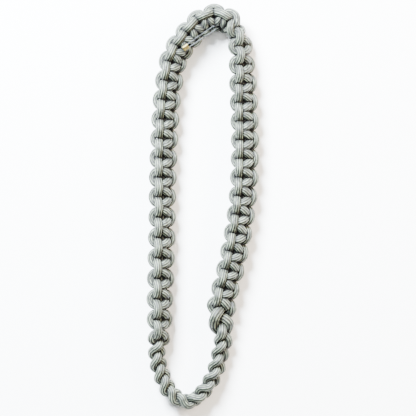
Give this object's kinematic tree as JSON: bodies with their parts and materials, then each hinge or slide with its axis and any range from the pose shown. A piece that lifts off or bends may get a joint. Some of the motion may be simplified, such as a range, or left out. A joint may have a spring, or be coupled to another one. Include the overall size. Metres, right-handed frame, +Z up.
{
  "type": "aiguillette",
  "caption": "Shoulder cord loop: silver-grey braided cords tied in square knots round a straight centre cord, then plaited round the bottom, with a small safety pin inside the top bend",
  "frame": {"origin": "centre of the bounding box's bottom face, on the table that the loop lies on", "axes": "+Y runs up the loop to the bend with the pin, +X to the picture's right, +Z up from the table towards the camera"},
  "size_m": [0.1042, 0.3802, 0.0262],
  "materials": {
    "silver_cord": "soft braided rayon with a faint sheen",
    "pin_steel": "bright drawn wire",
    "pin_brass": "pale plated sheet, softly worn"
  },
  "bodies": {
    "root": {"front_cord": "silver_cord", "back_cord": "silver_cord", "core_cord": "silver_cord", "pin_wire": "pin_steel", "pin_head": "pin_brass"}
  },
  "joints": []
}
